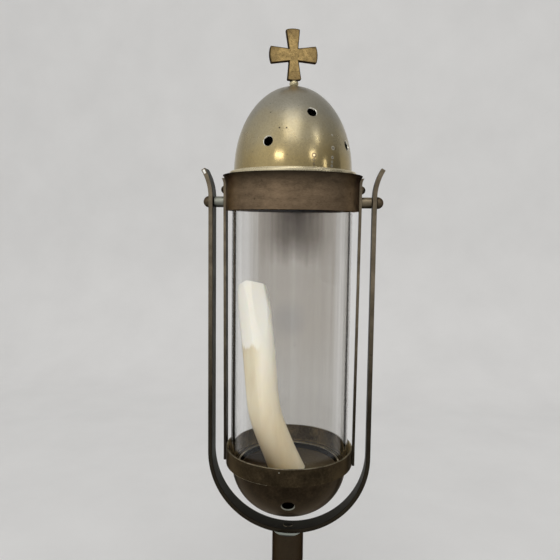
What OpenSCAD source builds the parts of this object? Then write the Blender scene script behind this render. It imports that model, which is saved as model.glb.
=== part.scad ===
// Processional lantern: a glass cylinder in a metal frame, capped by a pierced dome with a cross,
// swinging between the arms of a yoke on a pole socket.
// Millimetres. Z is up, X runs along the pivots, the front is -Y.
// The origin is the centre of the socket's mouth.

/* [Pole socket] */
// Outside diameter of the socket
socket_od = 27; // [22:0.5:40]
// Wall of the socket around the pole
socket_wall = 1.5; // [1:0.1:3]
// Height of the socket from its mouth to the yoke
socket_len = 120; // [60:1:200]
// Solid crown that closes the socket above the pole
crown_h = 12; // [10:0.5:20]

/* [Yoke] */
// Width of the yoke's flat bar
bar_w = 16; // [12:0.5:24]
// Thickness of the yoke's flat bar
bar_t = 3.6; // [2.4:0.1:5]
// Room between the bowl's foot and the yoke
yoke_room = 15.5; // [8:0.1:40]
// Straight bar above the pivot, up to the bend
tip_rise = 3.6; // [3.5:0.1:12]
// Radius of the bent tip, on its outer face
tip_bend_r = 43; // [25:1:80]
// Angle through which the tip bends outward
tip_angle = 31; // [10:1:60]

/* [Yoke screw] */
// Diameter of the countersunk head
yoke_screw_head_d = 8.4; // [7:0.1:12]
// Height of the countersunk head
yoke_screw_head_h = 2; // [1.5:0.1:2.3]
// Diameter of the shank
yoke_screw_d = 5; // [4:0.1:6]
// Length of the shank below the yoke
yoke_screw_grip = 9; // [6:0.5:10]

/* [Pivots] */
// Diameter of the pivot bolts
bolt_d = 5; // [4:0.1:6]
// Diameter of the bolts' domed heads
bolt_head_d = 9.6; // [8:0.1:14]
// Height of the bolts' domed heads
bolt_head_h = 5.3; // [3:0.1:6]
// Diameter of the spacers between strap and yoke
spacer_d = 9; // [7.5:0.1:14]
// Length of the spacers
spacer_len = 8.2; // [6:0.1:20]
// Height of the pivots above the band's lower edge
pivot_up = 7.3; // [5:0.1:12]
// Width across the flats of the thin nuts inside the band
pivot_nut_af = 8; // [7:0.1:10]

/* [Glass] */
// Outside diameter of the glass
glass_od = 100; // [80:1:130]
// Wall of the glass
glass_wall = 3; // [2:0.1:5]
// Length of the glass
glass_len = 240; // [180:1:320]

/* [Top band] */
// Space between the glass and the band
band_gap = 3.5; // [3:0.1:8]
// Sheet thickness of the band
band_wall = 1.5; // [1:0.1:3]
// Height of the band
band_h = 28.5; // [26:0.5:40]
// Outward flare of the band's lip
lip_flare = 2.8; // [1:0.1:5]
// Height over which the lip flares
lip_h = 7; // [4:0.1:8]
// Height of the lip above the dome's seat
lip_rise = 0.9; // [0.3:0.1:2]
// Thickness of the seat ring
seat_t = 1.5; // [1:0.1:2.5]

/* [Straps] */
// Width of the side straps
strap_w = 10; // [8:0.5:14]
// Thickness of the side straps
strap_t = 2.2; // [1.5:0.1:3]
// Diameter of the rivets
rivet_d = 4; // [3:0.1:5]
// Diameter of the upper rivets' domed heads
rivet_head_d = 6.8; // [6:0.1:9]
// Height of the upper rivets' domed heads
rivet_head_h = 2.8; // [1.5:0.1:3.2]
// Diameter of the lower rivets' countersunk heads
sunk_head_d = 6.4; // [6:0.1:8]
// Height of the lower rivets' countersunk heads
sunk_head_h = 1.2; // [0.8:0.1:1.4]
// Distance of the upper rivets below the lip
upper_rivet_down = 11; // [9:0.1:13]
// Distance of the lower rivets above the ring's lower edge
lower_rivet_up = 8; // [6:0.1:10]

/* [Gallery ring] */
// Space between the glass and the ring
ring_gap = 2.5; // [1.5:0.1:6]
// Sheet thickness of the ring
ring_wall = 1.5; // [1:0.1:3]
// Height of the ring
ring_h = 14.5; // [12:0.5:25]
// Thickness of the ledge that the glass stands on
ledge_t = 1.2; // [0.8:0.1:2.5]
// Width of the ledge inside the glass
ledge_lap = 1; // [0.5:0.1:3]

/* [Bowl] */
// Depth of the bowl
bowl_depth = 42.5; // [30:0.5:60]
// Sheet thickness of the bowl
bowl_wall = 1.2; // [0.8:0.1:2.5]
// Step from the ring's outside in to the bowl
bowl_inset = 5; // [3:0.1:6]
// Radius of the flat foot inside the bowl
foot_r = 6; // [6:0.1:12]
// Diameter of the bowl's air vents
bowl_vent_d = 10; // [4:0.1:12]
// Depth of the air vents below the bowl's upper edge
bowl_vent_drop = 20; // [12:0.5:24]
// Number of air vents round the bowl
bowl_vents = 3; // [1:1:8]
// Turn of the first air vent from the front, in degrees
bowl_vent_angle = 4; // [-30:1:30]

/* [Candle stand] */
// Depth of the drip pan
pan_depth = 6; // [3:0.1:12]
// Sheet thickness of the drip pan
pan_wall = 1; // [0.8:0.1:2]
// Air gap round the drip pan
air_gap = 2; // [1:0.1:5]
// Diameter of the pillar under the pan
post_d = 10; // [9:0.1:12]
// Diameter of the threads at both ends of the pillar
post_screw_d = 5; // [4:0.1:6]
// Length of each thread inside the pillar
post_thread = 10; // [6:0.5:14]
// Diameter of the pricket's collar
collar_d = 16; // [12:0.5:24]
// Height of the pricket's collar
collar_h = 1.5; // [1:0.1:3]
// Diameter of the spike at its foot
spike_d = 5; // [3:0.1:8]
// Height of the spike above its collar
spike_h = 15; // [10:0.5:18]
// Diameter of the bowl screw's head
bowl_screw_head_d = 9; // [7:0.1:12]
// Height of the bowl screw's head
bowl_screw_head_h = 2.5; // [1.5:0.1:4]

/* [Candle] */
// Diameter of the candle
candle_d = 28; // [22:0.5:34]
// Height of the bent candle above its collar
candle_h = 156; // [100:1:210]
// Loss of radius at the melted top
candle_melt = 2.6; // [1:0.1:5]
// Height of the melted top
melt_h = 24; // [10:1:40]
// Diameter of the wick
wick_d = 1.8; // [1:0.1:3]
// Wick that stands out of the wax
wick_stub = 2; // [1:0.1:6]

/* [Dome] */
// Overlap of the dome's rim on its seat
rim_lap = 1.9; // [1.6:0.1:2.6]
// Height of the rim
rim_h = 4; // [3:0.1:8]
// Rounding of the rim's outer edges
rim_round = 1.3; // [0.5:0.1:1.4]
// Width of the shelf round the dome's foot
rim_shelf = 3.8; // [2:0.1:5]
// Height of the dome above its rim
dome_h = 69.5; // [50:0.5:100]
// Sheet thickness of the dome
dome_wall = 1.2; // [0.8:0.1:2.5]
// Length of the spigot that enters the glass
spigot_len = 14; // [6:0.5:20]
// Diameter of the dome's vents
vent_d = 7.6; // [4:0.1:10]
// Height of the upper vents above the rim
upper_vent_up = 43; // [35:0.5:46]
// Height of the lower vents above the rim
lower_vent_up = 20; // [8:0.5:26]

/* [Cross] */
// Height of the cross
cross_h = 41.2; // [30:0.1:60]
// Width of the cross
cross_w = 39.8; // [28:0.1:60]
// Thickness of the cross
cross_t = 4.5; // [4.4:0.1:8]
// Width of the upright at the crossing
upright_root_w = 8; // [5:0.1:11]
// Width of the upright at its ends
upright_end_w = 11.6; // [8:0.1:16]
// Width of the crossbar at the crossing
bar_root_w = 10.2; // [5:0.1:12]
// Width of the crossbar at its ends
bar_end_w = 13.6; // [8:0.1:18]
// Sideways lean of the cross, in degrees
cross_lean = 2.4; // [0:0.1:5]
// Turn of the cross about its stem, in degrees
cross_turn = 15; // [0:1:30]
// Diameter of the bead under the cross
bead_d = 7.4; // [6:0.1:12]
// Height of the bead
bead_h = 4.4; // [3:0.1:5.5]
// Diameter of the cross's stem
stem_d = 4; // [3:0.1:4.3]
// Width across the flats of the nut under the dome
stem_nut_af = 7; // [6:0.1:10]
// Height of the nut under the dome
stem_nut_h = 3; // [2:0.1:5]

/* [Clearances] */
// Radial clearance of the pivot bolts in the yoke
pivot_fit = 0.08; // [0.02:0.01:0.1]
// End play on each side of the yoke's arms
pivot_play = 0.3; // [0.2:0.05:1]
// Radial clearance of fixed shanks in their holes
shank_fit = 0.1; // [0.05:0.01:0.2]
// Radial clearance of the glass in the seat ring
seat_play = 0.4; // [0.3:0.05:1]
// Room above the glass, below the dome's rim
glass_room = 0.8; // [0.4:0.1:1.3]
// Radial clearance of the spigot in the glass
spigot_play = 0.7; // [0.4:0.1:2]
// Room between the candle and the glass
candle_play = 0.5; // [0.4:0.1:4]
// Room between the nuts or rivet tails and the glass
nut_room = 1.1; // [0.8:0.1:2]

/* [Hidden] */
$fn = 64;
cut = 1;

brass = [0.66, 0.55, 0.32];
old_brass = [0.50, 0.42, 0.27];
dark_bronze = [0.30, 0.25, 0.19];
steel = [0.52, 0.52, 0.50];
wax = [0.93, 0.88, 0.75];
cotton = [0.35, 0.30, 0.25];
clear_glass = [0.80, 0.86, 0.86, 0.35];

// Steps of a curved outline, and sides and rings of the candle
arc_steps = 20;
lip_steps = 8;
strap_steps = 6;
candle_sides = 24;
candle_rings = 24;
wick_sides = 8;

// Where the dome's vents sit, in degrees from the front towards +X
upper_vent_angles = [26, 146, 266];
lower_vent_angles = [-20, 70, 160, 250];

// Radii of the round pieces
glass_r = glass_od / 2;
glass_in_r = glass_r - glass_wall;
band_in_r = glass_r + band_gap;
band_r = band_in_r + band_wall;
ring_in_r = glass_r + ring_gap;
ring_r = ring_in_r + ring_wall;
ledge_in_r = glass_in_r - ledge_lap;
pan_r = ledge_in_r - air_gap;
bowl_r = ring_r - bowl_inset;
seat_in_r = glass_r + seat_play;
rim_r = seat_in_r + rim_lap;
dome_r = rim_r - rim_shelf;
spigot_r = glass_in_r - spigot_play;
spigot_in_r = spigot_r - dome_wall;
candle_r = candle_d / 2;

// Distances from the centre along X
strap_x = band_r + strap_t;
yoke_in_r = strap_x + spacer_len + pivot_play;
yoke_out_r = yoke_in_r + bar_t;
bolt_head_x = yoke_out_r + pivot_play;

// Heights, from the socket's mouth up
yoke_floor_z = socket_len + bar_t;
yoke_bow_z = socket_len + yoke_out_r;
bowl_foot_z = yoke_floor_z + yoke_room;
ring_z = bowl_foot_z + bowl_depth;
ledge_z = ring_z + ledge_t;
glass_top_z = ledge_z + glass_len;
seat_top_z = glass_top_z + glass_room;
seat_z = seat_top_z - seat_t;
lip_z = seat_top_z + lip_rise;
lip_foot_z = lip_z - lip_h;
band_z = lip_z - band_h;
pivot_z = band_z + pivot_up;
arm_top_z = pivot_z + tip_rise;
upper_rivet_z = lip_z - upper_rivet_down;
lower_rivet_z = ring_z + lower_rivet_up;
pan_z = ledge_z - pan_depth - pan_wall;
candle_z = pan_z + pan_wall + collar_h;
dome_z = seat_top_z + rim_h;
dome_top_z = dome_z + dome_h;
cross_z = dome_top_z + bead_h;

// Outward step of the band's lip at a height
function lip_step(z) = lip_flare * pow(max(0, z - lip_foot_z) / lip_h, 2);
function lip_level(i) = lip_foot_z + lip_h * i / lip_steps;
seat_r = band_in_r + lip_step(seat_z);

// Nuts and rivet tails stay between the sheet and the glass
pivot_nut_t = band_gap - nut_room;
rivet_tail_t = (min(band_gap, ring_gap) - nut_room) / 2;
rivet_tail_d = rivet_d * 1.4;
function flat_in(sheet_r, half_w) = sqrt(pow(sheet_r, 2) - pow(half_w, 2));
function corner_r(across_flats) = across_flats / 2 / cos(30);

// The candle's centreline leans over to the left until the wax reaches the glass
candle_reach = glass_in_r - candle_r - candle_play;
candle_route = [
    [-0.04 * candle_reach, -0.05 * candle_h],
    [-1.01 * candle_reach, 0.44 * candle_h],
    [-0.50 * candle_reach, 0.17 * candle_h],
    [-1.07 * candle_reach, candle_h]
];
// The wick starts at this share of the way up
wick_start_share = 0.55;

function route_at(p, t) =
    pow(1 - t, 3) * p[0] + 3 * pow(1 - t, 2) * t * p[1] + 3 * (1 - t) * t * t * p[2] + pow(t, 3) * p[3];
function route_slope(p, t) =
    3 * pow(1 - t, 2) * (p[1] - p[0]) + 6 * (1 - t) * t * (p[2] - p[1]) + 3 * t * t * (p[3] - p[2]);
function route_ring(p, t, r, sides) = let (c = route_at(p, t), s = route_slope(p, t), d = s / norm(s))
    [for (i = [0 : sides - 1]) let (a = 360 * i / sides)
        [c[0] + r * cos(a) * d[1], r * sin(a), c[1] - r * cos(a) * d[0]]];
wick_end_share = 1 + wick_stub / norm(route_slope(candle_route, 1));

function wax_radius(t) = let (up = route_at(candle_route, t)[1] - candle_h + melt_h)
    candle_r - candle_melt * pow(max(0, up) / melt_h, 1.5);

// Shared shapes

// A closed tube of changing radius along a route in the XZ plane
module tube_along(route, times, radii, sides) {
    last = len(times) - 1;
    rings = [for (k = [0 : last]) each route_ring(route, times[k], radii[k], sides)];
    walls = [for (k = [0 : last - 1], i = [0 : sides - 1])
        let (j = (i + 1) % sides, a = k * sides, b = a + sides)
        each [[a + i, b + i, b + j], [a + i, b + j, a + j]]];
    foot = [for (i = [0 : sides - 1]) i];
    head = [for (i = [0 : sides - 1]) (last + 1) * sides - 1 - i];
    polyhedron(points = rings, faces = concat(walls, [foot, head]));
}

// A domed head standing on z = 0
module domed_head(d, h) {
    ball_r = (d * d / 4 + h * h) / (2 * h);
    intersection() {
        translate([0, 0, h - ball_r]) sphere(r = ball_r);
        cylinder(d = 2 * d, h = h);
    }
}

module hex_prism(across_flats, h) {
    cylinder(r = corner_r(across_flats), h = h, $fn = 6);
}

// A hole along X through both sides of the lantern
module cross_hole(d, z) {
    translate([0, 0, z]) rotate([0, 90, 0]) cylinder(d = d, h = 4 * yoke_out_r, center = true);
}

// The tail and shank of a rivet along +X, from inside a round sheet to the face of a strap
module rivet_shank(sheet_r, face_x, z) {
    tail_x = flat_in(sheet_r, rivet_tail_d / 2) - rivet_tail_t;
    translate([tail_x, 0, z]) rotate([0, 90, 0]) {
        cylinder(d = rivet_tail_d, h = rivet_tail_t);
        cylinder(d = rivet_d, h = face_x - tail_x);
    }
}

// A countersunk rivet head along +X, flush with the face of a strap
module sunk_head(face_x, z, room) {
    translate([face_x - sunk_head_h, 0, z]) rotate([0, 90, 0])
        cylinder(d1 = rivet_d + 2 * room, d2 = sunk_head_d + 2 * room, h = sunk_head_h);
}

// A hole square to an elliptic shell of half width a and half height b, at a height from its middle
module shell_hole(a, b, up, angle, d, wall) {
    r = a * sqrt(1 - pow(up / b, 2));
    rise = atan2(up / (b * b), r / (a * a));
    rotate([0, 0, angle]) translate([0, -r, up]) rotate([90 - rise, 0, 0])
        cylinder(d = d, h = 8 * wall, center = true);
}

// Half of an ellipse's outline, from its equator to its pole
function quarter_ellipse(a, b, start = 0) =
    [for (i = [0 : arc_steps]) [start + a * cos(90 * i / arc_steps), b * sin(90 * i / arc_steps)]];
function reversed(points) = [for (i = [len(points) - 1 : -1 : 0]) points[i]];

// Yoke and socket

module yoke_face() {
    translate([0, 0, yoke_bow_z]) rotate([90, 0, 0])
        cylinder(r = yoke_out_r, h = 4 * socket_od, center = true);
}

module pole_socket() {
    hole_d = yoke_screw_d + 2 * shank_fit;
    color(old_brass) difference() {
        cylinder(d = socket_od, h = socket_len + socket_od / 2);
        translate([0, 0, -cut]) cylinder(d = socket_od - 2 * socket_wall, h = socket_len - crown_h + cut);
        translate([0, 0, socket_len - yoke_screw_grip]) cylinder(d = hole_d, h = socket_od);
        yoke_face();
    }
}

module yoke_tip() {
    translate([yoke_out_r + tip_bend_r, 0, arm_top_z]) rotate([90, 0, 0]) mirror([1, 0, 0])
        rotate_extrude(angle = tip_angle) translate([tip_bend_r, -bar_w / 2]) square([bar_t, bar_w]);
}

module yoke_arm() {
    translate([yoke_in_r, -bar_w / 2, yoke_bow_z]) cube([bar_t, bar_w, arm_top_z - yoke_bow_z]);
    yoke_tip();
}

module yoke() {
    hole_d = yoke_screw_d + 2 * shank_fit;
    sink_d = yoke_screw_head_d + 2 * shank_fit;
    color(dark_bronze) difference() {
        union() {
            translate([0, 0, yoke_bow_z]) rotate([-90, 0, 0]) rotate_extrude(angle = 180)
                translate([yoke_in_r, -bar_w / 2]) square([bar_t, bar_w]);
            yoke_arm();
            mirror([1, 0, 0]) yoke_arm();
        }
        cross_hole(bolt_d + 2 * pivot_fit, pivot_z);
        translate([0, 0, socket_len - cut]) cylinder(d = hole_d, h = bar_t + 2 * cut);
        translate([0, 0, yoke_floor_z - yoke_screw_head_h])
            cylinder(d1 = hole_d, d2 = sink_d, h = yoke_screw_head_h);
        translate([0, 0, yoke_floor_z]) cylinder(d = sink_d, h = bar_t);
    }
}

module yoke_screw() {
    slot_w = yoke_screw_head_d / 8;
    slot_h = yoke_screw_head_h / 2;
    color(old_brass) difference() {
        union() {
            translate([0, 0, socket_len - yoke_screw_grip])
                cylinder(d = yoke_screw_d, h = yoke_screw_grip + bar_t - yoke_screw_head_h);
            translate([0, 0, yoke_floor_z - yoke_screw_head_h])
                cylinder(d1 = yoke_screw_d, d2 = yoke_screw_head_d, h = yoke_screw_head_h);
        }
        translate([-yoke_screw_head_d, -slot_w / 2, yoke_floor_z - slot_h])
            cube([2 * yoke_screw_head_d, slot_w, slot_h + cut]);
    }
}

// Frame of the lantern

module top_band() {
    outer = [for (i = [0 : lip_steps]) [band_r + lip_step(lip_level(i)), lip_level(i)]];
    inner = [for (i = [0 : lip_steps]) [band_in_r + lip_step(lip_level(i)), lip_level(i)]];
    color(dark_bronze) difference() {
        rotate_extrude()
            polygon(concat([[band_in_r, band_z], [band_r, band_z]], outer, reversed(inner)));
        cross_hole(bolt_d + 2 * shank_fit, pivot_z);
        cross_hole(rivet_d + 2 * shank_fit, upper_rivet_z);
    }
}

module seat_ring() {
    color(dark_bronze) rotate_extrude()
        translate([seat_in_r, seat_z]) square([seat_r - seat_in_r, seat_t]);
}

module strap() {
    inner = concat(
        [[ring_r, ring_z], [ring_r, ring_z + ring_h], [band_r, band_z]],
        [for (i = [0 : strap_steps]) [band_r + lip_step(lip_level(i)), lip_level(i)]]);
    outer = [for (p = inner) [p[0] + strap_t, p[1]]];
    color(dark_bronze) difference() {
        rotate([90, 0, 0]) linear_extrude(strap_w, center = true) polygon(concat(inner, reversed(outer)));
        cross_hole(bolt_d + 2 * shank_fit, pivot_z);
        cross_hole(rivet_d + 2 * shank_fit, upper_rivet_z);
        cross_hole(rivet_d + 2 * shank_fit, lower_rivet_z);
        sunk_head(ring_r + strap_t, lower_rivet_z, shank_fit);
    }
}

module right_strap() {
    strap();
}

module left_strap() {
    mirror([1, 0, 0]) strap();
}

module upper_rivets() {
    color(old_brass) for (side = [0, 1]) mirror([side, 0, 0]) {
        rivet_shank(band_in_r, strap_x, upper_rivet_z);
        translate([strap_x, 0, upper_rivet_z]) rotate([0, 90, 0]) domed_head(rivet_head_d, rivet_head_h);
    }
}

module lower_rivets() {
    color(old_brass) for (side = [0, 1]) mirror([side, 0, 0]) {
        rivet_shank(ring_in_r, ring_r + strap_t, lower_rivet_z);
        sunk_head(ring_r + strap_t, lower_rivet_z, 0);
    }
}

module gallery_ring() {
    color(dark_bronze) difference() {
        rotate_extrude() {
            translate([ring_in_r, ring_z]) square([ring_wall, ring_h]);
            translate([ledge_in_r, ring_z]) square([ring_r - ledge_in_r, ledge_t]);
        }
        cross_hole(rivet_d + 2 * shank_fit, lower_rivet_z);
    }
}

module glass_cylinder() {
    color(clear_glass) rotate_extrude()
        translate([glass_in_r, ledge_z]) square([glass_wall, glass_len]);
}

// Pivots

module pivot_bolt() {
    tip_x = flat_in(band_in_r, corner_r(pivot_nut_af)) - pivot_nut_t;
    color(old_brass) translate([0, 0, pivot_z]) rotate([0, 90, 0]) {
        translate([0, 0, tip_x]) cylinder(d = bolt_d, h = bolt_head_x - tip_x);
        translate([0, 0, bolt_head_x]) domed_head(bolt_head_d, bolt_head_h);
    }
}

module pivot_spacer() {
    color(steel) translate([strap_x, 0, pivot_z]) rotate([0, 90, 0]) difference() {
        cylinder(d = spacer_d, h = spacer_len);
        translate([0, 0, -cut]) cylinder(d = bolt_d + 2 * shank_fit, h = spacer_len + 2 * cut);
    }
}

module pivot_nut() {
    nut_x = flat_in(band_in_r, corner_r(pivot_nut_af)) - pivot_nut_t;
    color(old_brass) translate([nut_x, 0, pivot_z]) rotate([0, 90, 0]) difference() {
        hex_prism(pivot_nut_af, pivot_nut_t);
        translate([0, 0, -cut]) cylinder(d = bolt_d + 2 * shank_fit, h = pivot_nut_t + 2 * cut);
    }
}

module right_pivot_bolt() {
    pivot_bolt();
}

module left_pivot_bolt() {
    mirror([1, 0, 0]) pivot_bolt();
}

module right_spacer() {
    pivot_spacer();
}

module left_spacer() {
    mirror([1, 0, 0]) pivot_spacer();
}

module right_pivot_nut() {
    pivot_nut();
}

module left_pivot_nut() {
    mirror([1, 0, 0]) pivot_nut();
}

// Bowl and candle

module bowl() {
    outer = quarter_ellipse(bowl_r - foot_r, bowl_depth, foot_r);
    inner = quarter_ellipse(bowl_r - bowl_wall - foot_r, bowl_depth - bowl_wall, foot_r);
    wall = concat(outer, [[0, bowl_depth], [0, bowl_depth - bowl_wall]], reversed(inner));
    color(dark_bronze) translate([0, 0, ring_z]) mirror([0, 0, 1]) difference() {
        rotate_extrude() polygon(wall);
        for (i = [0 : bowl_vents - 1])
            shell_hole(bowl_r, bowl_depth, bowl_vent_drop, bowl_vent_angle + 360 * i / bowl_vents,
                bowl_vent_d, 2 * bowl_wall);
        translate([0, 0, bowl_depth - bowl_wall - cut])
            cylinder(d = post_screw_d + 2 * shank_fit, h = bowl_wall + 2 * cut);
    }
}

module bowl_screw() {
    color(old_brass) {
        translate([0, 0, bowl_foot_z]) cylinder(d = post_screw_d, h = bowl_wall + post_thread);
        translate([0, 0, bowl_foot_z]) mirror([0, 0, 1]) domed_head(bowl_screw_head_d, bowl_screw_head_h);
    }
}

module pan_post() {
    post_z = bowl_foot_z + bowl_wall;
    hole_d = post_screw_d + 2 * shank_fit;
    color(old_brass) difference() {
        translate([0, 0, post_z]) cylinder(d = post_d, h = pan_z - post_z);
        translate([0, 0, post_z - cut]) cylinder(d = hole_d, h = post_thread + cut);
        translate([0, 0, pan_z - post_thread]) cylinder(d = hole_d, h = post_thread + cut);
    }
}

module drip_pan() {
    color(dark_bronze) translate([0, 0, pan_z]) difference() {
        cylinder(r = pan_r, h = pan_depth + pan_wall);
        translate([0, 0, pan_wall]) cylinder(r = pan_r - pan_wall, h = pan_depth + cut);
        translate([0, 0, -cut]) cylinder(d = post_screw_d + 2 * shank_fit, h = pan_wall + 2 * cut);
    }
}

module spike(room) {
    translate([0, 0, candle_z])
        cylinder(d1 = spike_d + 2 * room, d2 = spike_d / 5 + 2 * room, h = spike_h + room);
}

module pricket() {
    color(old_brass) {
        translate([0, 0, pan_z - post_thread]) cylinder(d = post_screw_d, h = post_thread + pan_wall);
        translate([0, 0, candle_z - collar_h]) cylinder(d = collar_d, h = collar_h);
        spike(0);
    }
}

module wick_run(room) {
    span = wick_end_share - wick_start_share;
    times = [for (i = [0 : candle_rings]) wick_start_share + span * i / candle_rings];
    radii = [for (t = times) wick_d / 2 + room];
    translate([0, 0, candle_z]) tube_along(candle_route, times, radii, wick_sides);
}

module candle() {
    times = [for (i = [0 : candle_rings]) i / candle_rings];
    radii = [for (t = times) wax_radius(t)];
    color(wax) difference() {
        translate([0, 0, candle_z]) tube_along(candle_route, times, radii, candle_sides);
        translate([-glass_r, -glass_r, candle_z - glass_od]) cube(glass_od);
        spike(shank_fit);
        wick_run(shank_fit);
    }
}

module wick() {
    color(cotton) wick_run(0);
}

// Dome and cross

module dome_rim() {
    flat_r = rim_r - rim_round;
    color(brass) translate([0, 0, seat_top_z]) rotate_extrude() {
        translate([spigot_in_r, 0]) square([flat_r - spigot_in_r, rim_h]);
        translate([spigot_in_r, rim_round]) square([rim_r - spigot_in_r, rim_h - 2 * rim_round]);
        translate([flat_r, rim_round]) circle(r = rim_round);
        translate([flat_r, rim_h - rim_round]) circle(r = rim_round);
    }
}

module dome_spigot() {
    color(old_brass) rotate_extrude()
        translate([spigot_in_r, seat_top_z - spigot_len]) square([spigot_r - spigot_in_r, spigot_len]);
}

module dome() {
    outer = quarter_ellipse(dome_r, dome_h);
    inner = quarter_ellipse(dome_r - dome_wall, dome_h - dome_wall);
    color(brass) translate([0, 0, dome_z]) difference() {
        rotate_extrude() polygon(concat(outer, reversed(inner)));
        for (angle = upper_vent_angles) shell_hole(dome_r, dome_h, upper_vent_up, angle, vent_d, dome_wall);
        for (angle = lower_vent_angles) shell_hole(dome_r, dome_h, lower_vent_up, angle, vent_d, dome_wall);
        translate([0, 0, dome_h - dome_wall - cut])
            cylinder(d = stem_d + 2 * shank_fit, h = dome_wall + 2 * cut);
    }
}

// One arm of the cross, pointing up, with a slightly round end
module cross_arm(reach, root_w, end_w) {
    intersection() {
        polygon([[-root_w / 2, 0], [root_w / 2, 0], [end_w / 2, reach], [-end_w / 2, reach]]);
        circle(r = reach);
    }
}

nut_sag = (dome_h - dome_wall) * (1 - sqrt(1 - pow(corner_r(stem_nut_af) / (dome_r - dome_wall), 2)));
cross_nut_z = dome_top_z - dome_wall - nut_sag - stem_nut_h;

module cross() {
    color(brass) {
        translate([0, 0, cross_z]) rotate([0, -cross_lean, cross_turn]) translate([0, 0, cross_h / 2])
            rotate([90, 0, 0]) linear_extrude(cross_t, center = true) {
                for (turn = [0, 180]) rotate(turn) cross_arm(cross_h / 2, upright_root_w, upright_end_w);
                for (turn = [90, 270]) rotate(turn) cross_arm(cross_w / 2, bar_root_w, bar_end_w);
            }
        translate([0, 0, cross_nut_z]) cylinder(d = stem_d, h = cross_z + stem_d / 2 - cross_nut_z);
    }
}

module cross_bead() {
    color(brass) translate([0, 0, dome_top_z]) difference() {
        intersection() {
            translate([0, 0, bead_h / 2]) sphere(d = bead_d);
            cylinder(d = 2 * bead_d, h = bead_h);
        }
        translate([0, 0, -cut]) cylinder(d = stem_d + 2 * shank_fit, h = bead_h + 2 * cut);
    }
}

module cross_nut() {
    color(old_brass) translate([0, 0, cross_nut_z]) difference() {
        hex_prism(stem_nut_af, stem_nut_h);
        translate([0, 0, -cut]) cylinder(d = stem_d + 2 * shank_fit, h = stem_nut_h + 2 * cut);
    }
}

pole_socket();
yoke();
yoke_screw();
top_band();
seat_ring();
left_strap();
right_strap();
upper_rivets();
lower_rivets();
left_pivot_bolt();
right_pivot_bolt();
left_spacer();
right_spacer();
left_pivot_nut();
right_pivot_nut();
gallery_ring();
bowl();
bowl_screw();
pan_post();
drip_pan();
pricket();
candle();
wick();
dome_rim();
dome_spigot();
dome();
cross();
cross_bead();
cross_nut();
glass_cylinder();
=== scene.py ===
import math

import bpy
from mathutils import Matrix, Vector


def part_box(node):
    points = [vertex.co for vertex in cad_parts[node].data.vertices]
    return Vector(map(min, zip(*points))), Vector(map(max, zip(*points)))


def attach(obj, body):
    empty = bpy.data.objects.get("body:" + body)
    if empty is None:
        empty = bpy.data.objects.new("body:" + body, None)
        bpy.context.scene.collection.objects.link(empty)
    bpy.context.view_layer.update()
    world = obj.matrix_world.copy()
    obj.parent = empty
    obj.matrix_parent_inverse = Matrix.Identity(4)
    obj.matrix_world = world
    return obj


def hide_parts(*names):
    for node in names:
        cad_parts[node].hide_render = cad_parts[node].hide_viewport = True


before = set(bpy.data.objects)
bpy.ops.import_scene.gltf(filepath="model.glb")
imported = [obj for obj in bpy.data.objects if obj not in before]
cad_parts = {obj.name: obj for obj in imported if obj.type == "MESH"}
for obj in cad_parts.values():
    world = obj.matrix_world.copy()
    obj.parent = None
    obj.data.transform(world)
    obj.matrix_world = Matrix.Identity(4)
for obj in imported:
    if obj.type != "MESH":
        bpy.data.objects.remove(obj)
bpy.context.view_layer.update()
print("frame loaded with", len(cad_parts), "nodes")

mm = 0.001
weld = 1e-6               # points closer than this are one point
roundSteps = 128          # sides of the large turned pieces
domeSteps = 160           # sides of the dome and its rim
smallSteps = 48           # sides of bolts, rivets and drills
cornerSteps = 6           # steps round a small corner
boltHole = 2.6 * mm       # clears the pivot bolts' shanks
overcut = 1 * mm          # how far a cutter stands past a face
shellDrill = 4 * mm       # half length of a drill for one shell
throughDrill = 0.2        # and of a drill that goes through the whole lantern
noiseRange = (0.3, 0.7)   # nearly all of a noise lies between these
spotCore = 0.6            # share of a spot's radius that has its full strength
flatFacing = 0.9          # a face square to an axis has more of its normal along it than this
halfFacing = 0.5          # and a face that is turned towards it more than this
barSide = 0.4             # and a bar's narrow side, with half of its rounded edges

pivotZ = sum(corner.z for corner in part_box("right_pivot_bolt")) / 2


# camera

cameraLook = {
    "sensor": 36,            # mm
    "pictureSide": 560,      # pixels
    "focalPixels": 594.1,
    "distance": 0.4982,      # from the lantern's axis
    "height": 0.3837,
    "azimuth": 4.2,          # degrees, towards +X
    "pan": 1.09,
    "dip": 5.2,
    "roll": 0.7,
}


def placeCamera():
    look = cameraLook
    data = bpy.data.cameras.new("photoCamera")
    data.sensor_width = look["sensor"]
    data.lens = data.sensor_width * look["focalPixels"] / look["pictureSide"]
    camera = bpy.data.objects.new("photoCamera", data)
    bpy.context.scene.collection.objects.link(camera)
    side = math.radians(look["azimuth"])
    place = Vector((look["distance"] * math.sin(side), -look["distance"] * math.cos(side), look["height"]))
    aim = (Matrix.Rotation(side + math.radians(look["pan"]), 4, "Z")
           @ Matrix.Rotation(math.radians(90 - look["dip"]), 4, "X")
           @ Matrix.Rotation(math.radians(look["roll"]), 4, "Z"))
    camera.matrix_world = Matrix.Translation(place) @ aim
    bpy.context.scene.camera = camera


placeCamera()
print("camera placed")


# bench work: selecting, turning, bending, drilling and finishing

def letGo():
    if bpy.context.mode != "OBJECT":
        bpy.ops.object.mode_set(mode="OBJECT")
    bpy.ops.object.select_all(action="DESELECT")


def takeUp(piece):
    letGo()
    piece.select_set(True)
    bpy.context.view_layer.objects.active = piece


def openMesh(piece, kind="VERT"):
    takeUp(piece)
    bpy.ops.object.mode_set(mode="EDIT")
    bpy.ops.mesh.select_mode(type=kind)


def closeMesh():
    bpy.ops.object.mode_set(mode="OBJECT")


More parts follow.
